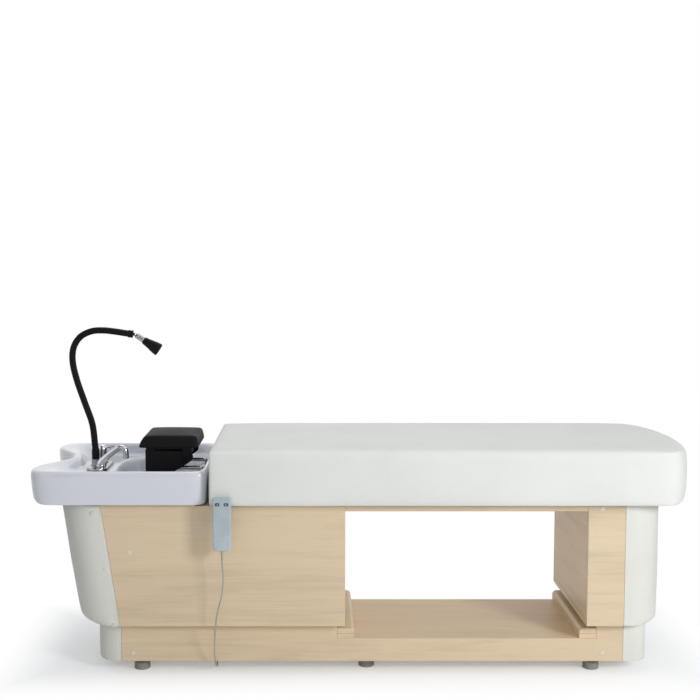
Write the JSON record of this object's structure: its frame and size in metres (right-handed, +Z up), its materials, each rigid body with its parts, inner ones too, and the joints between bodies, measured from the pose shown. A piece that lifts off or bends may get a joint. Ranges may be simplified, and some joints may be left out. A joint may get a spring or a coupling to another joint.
{
  "type": "head-spa massage bed",
  "caption": "Padded massage bed on a wooden carcass with an open shelf, a wash basin, mixer tap, flexible spray arm and neck rest at its head, and a hanging handset.",
  "frame": {"origin": "on the floor, under the middle of the bed's box", "axes": "+X along the bed from the basin to the foot end, +Y away from the handset side, +Z up"},
  "size_m": [2.1391, 0.6361, 1.1209],
  "materials": {
    "maple_laminate": "satin wood-grain laminate",
    "ivory_leatherette": "soft matt leatherette over foam",
    "white_glaze": "glossy glaze",
    "chrome": "polished",
    "black_plastic": "matt",
    "black_sleeve": "matt ribbed sleeve",
    "black_leatherette": "soft matt leatherette over foam",
    "steel": "bright zinc",
    "dark_plastic": "matt",
    "handset_shell": "fine satin",
    "grey_sheath": "matt",
    "braided_steel": "woven sleeve"
  },
  "bodies": {
    "bed": {"plinth_front": "maple_laminate", "plinth_rear": "maple_laminate", "plinth_floor": "maple_laminate", "shelf": "maple_laminate", "cross_bar_head": "maple_laminate", "cross_bar_foot": "maple_laminate", "cabinet_front": "maple_laminate", "cabinet_rear": "maple_laminate", "cabinet_side": "maple_laminate", "cabinet_floor": "maple_laminate", "upright_front": "maple_laminate", "upright_rear": "maple_laminate", "upright_side": "maple_laminate", "upright_floor": "maple_laminate", "apron_front": "maple_laminate", "apron_rear": "maple_laminate", "deck": "maple_laminate", "head_end_pad": "ivory_leatherette", "foot_end_pad": "ivory_leatherette", "plinth_head_pad": "ivory_leatherette", "plinth_foot_pad": "ivory_leatherette", "basin": "white_glaze", "drain_waste": "chrome", "tap_body": "chrome", "rest_rail_near": "chrome", "rest_rail_far": "chrome", "slide_rail_near": "steel", "slide_rail_far": "steel", "handset_hanger": "steel", "actuator_body": "dark_plastic", "cord_gland": "dark_plastic", "handset_case": "handset_shell", "waste_hose": "grey_sheath", "cord_relief": "grey_sheath", "handset_cord": "grey_sheath", "supply_hose_cold": "braided_steel", "supply_hose_hot": "braided_steel"},
    "mattress_carriage": {"mattress": "ivory_leatherette", "mattress_board": "maple_laminate", "runner_near": "dark_plastic", "runner_far": "dark_plastic", "actuator_rod": "steel", "drive_bracket": "steel"},
    "neck_bracket": {"neck_bracket": "black_plastic"},
    "neck_cradle": {"neck_cradle": "black_plastic", "neck_pillow": "black_leatherette"},
    "spout": {"spout": "chrome"},
    "mixer_dome": {"mixer_dome": "chrome"},
    "mixer_lever": {"mixer_lever": "chrome"},
    "spray_arm": {"spray_arm": "black_sleeve"},
    "spray_head": {"spray_neck": "chrome", "spray_head": "black_plastic"},
    "button_out": {"button_out": "dark_plastic"},
    "button_in": {"button_in": "dark_plastic"},
    "leveller_head_near": {"leveller_head_near": "dark_plastic"},
    "leveller_head_far": {"leveller_head_far": "dark_plastic"},
    "leveller_middle_near": {"leveller_middle_near": "dark_plastic"},
    "leveller_middle_far": {"leveller_middle_far": "dark_plastic"},
    "leveller_foot_near": {"leveller_foot_near": "dark_plastic"},
    "leveller_foot_far": {"leveller_foot_far": "dark_plastic"}
  },
  "joints": [
    {"name": "mattress_slide", "type": "slide", "parent": "bed", "child": "mattress_carriage", "axis": [1, 0, 0], "range_m": [0, 0.2]},
    {"name": "neck_rest_slide", "type": "slide", "parent": "bed", "child": "neck_bracket", "axis": [1, 0, 0], "range_m": [-0.03, 0.02]},
    {"name": "neck_rest_tilt", "type": "hinge", "parent": "neck_bracket", "child": "neck_cradle", "pos_m": [-0.584, 0.01345, 0.695], "axis": [0, 1, 0], "range_deg": [0, 20]},
    {"name": "spout_swivel", "type": "hinge", "parent": "bed", "child": "spout", "pos_m": [-0.8805, -0.04155, 0.6526], "axis": [0, 0, 1], "range_deg": [-40, 40]},
    {"name": "mixer_turn", "type": "hinge", "parent": "bed", "child": "mixer_dome", "pos_m": [-0.8925, 0.05545, 0.6923], "axis": [0, 0, 1], "range_deg": [-30, 30]},
    {"name": "mixer_lift", "type": "hinge", "parent": "mixer_dome", "child": "mixer_lever", "pos_m": [-0.8925, 0.05545, 0.6966], "axis": [0, -1, 0], "range_deg": [0, 25]},
    {"name": "spray_arm_swivel", "type": "hinge", "parent": "bed", "child": "spray_arm", "pos_m": [-0.9055, 0.00345, 0.6726], "axis": [0, 0, 1], "range_deg": [-90, 90]},
    {"name": "spray_tilt", "type": "hinge", "parent": "spray_arm", "child": "spray_head", "pos_m": [-0.76707, 0.00345, 1.09668], "axis": [0, 1, 0], "range_deg": [-25, 25]},
    {"name": "button_out_press", "type": "slide", "parent": "bed", "child": "button_out", "axis": [0, 1, 0], "range_m": [0, 0.0012], "stiffness_N_per_m": 500, "springref_m": -0.001},
    {"name": "button_in_press", "type": "slide", "parent": "bed", "child": "button_in", "axis": [0, 1, 0], "range_m": [0, 0.0012], "stiffness_N_per_m": 500, "springref_m": -0.001},
    {"name": "leveller_head_near_turn", "type": "hinge", "parent": "bed", "child": "leveller_head_near", "pos_m": [-0.7315, -0.14355, 0], "axis": [0, 0, 1], "continuous": true},
    {"name": "leveller_head_far_turn", "type": "hinge", "parent": "bed", "child": "leveller_head_far", "pos_m": [-0.7315, 0.17045, 0], "axis": [0, 0, 1], "continuous": true},
    {"name": "leveller_middle_near_turn", "type": "hinge", "parent": "bed", "child": "leveller_middle_near", "pos_m": [0.01125, -0.12155, 0], "axis": [0, 0, 1], "continuous": true},
    {"name": "leveller_middle_far_turn", "type": "hinge", "parent": "bed", "child": "leveller_middle_far", "pos_m": [0.01125, 0.14845, 0], "axis": [0, 0, 1], "continuous": true},
    {"name": "leveller_foot_near_turn", "type": "hinge", "parent": "bed", "child": "leveller_foot_near", "pos_m": [0.754, -0.14355, 0], "axis": [0, 0, 1], "continuous": true},
    {"name": "leveller_foot_far_turn", "type": "hinge", "parent": "bed", "child": "leveller_foot_far", "pos_m": [0.754, 0.17045, 0], "axis": [0, 0, 1], "continuous": true}
  ]
}
